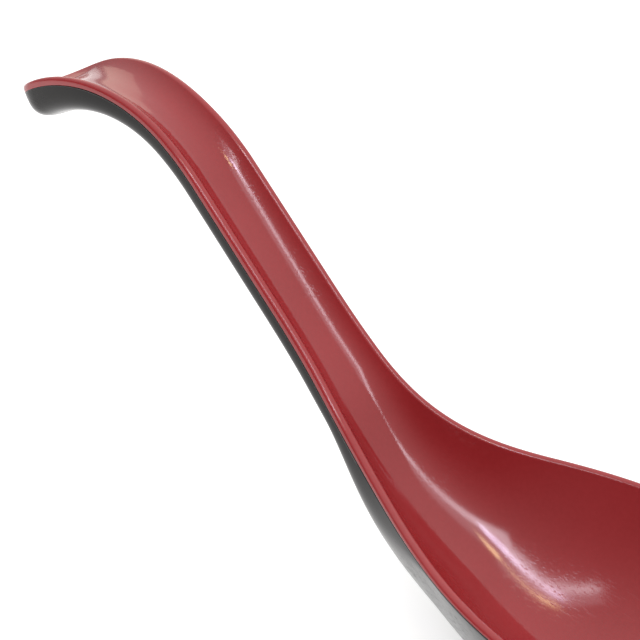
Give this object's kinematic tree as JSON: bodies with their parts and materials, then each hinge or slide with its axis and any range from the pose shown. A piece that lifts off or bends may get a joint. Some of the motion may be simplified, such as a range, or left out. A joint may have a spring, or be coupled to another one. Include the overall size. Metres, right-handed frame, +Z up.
{
  "type": "hooked soup spoon",
  "caption": "Two-colour moulded soup spoon with a deep oval bowl on a flat foot and a channelled handle that bends over into a hook.",
  "frame": {"origin": "middle of the bounding box in plan, on the plane of the flat foot", "axes": "+X along the spoon towards the nose of the bowl, the handle's hook at -X, +Z up, mirror-symmetric in Y"},
  "size_m": [0.179, 0.0494, 0.0714],
  "materials": {
    "black_plastic": "glossy black moulded plastic",
    "red_plastic": "glossy deep red moulded plastic"
  },
  "bodies": {
    "root": {"outer_shell": "black_plastic", "inner_layer": "red_plastic"}
  },
  "joints": []
}
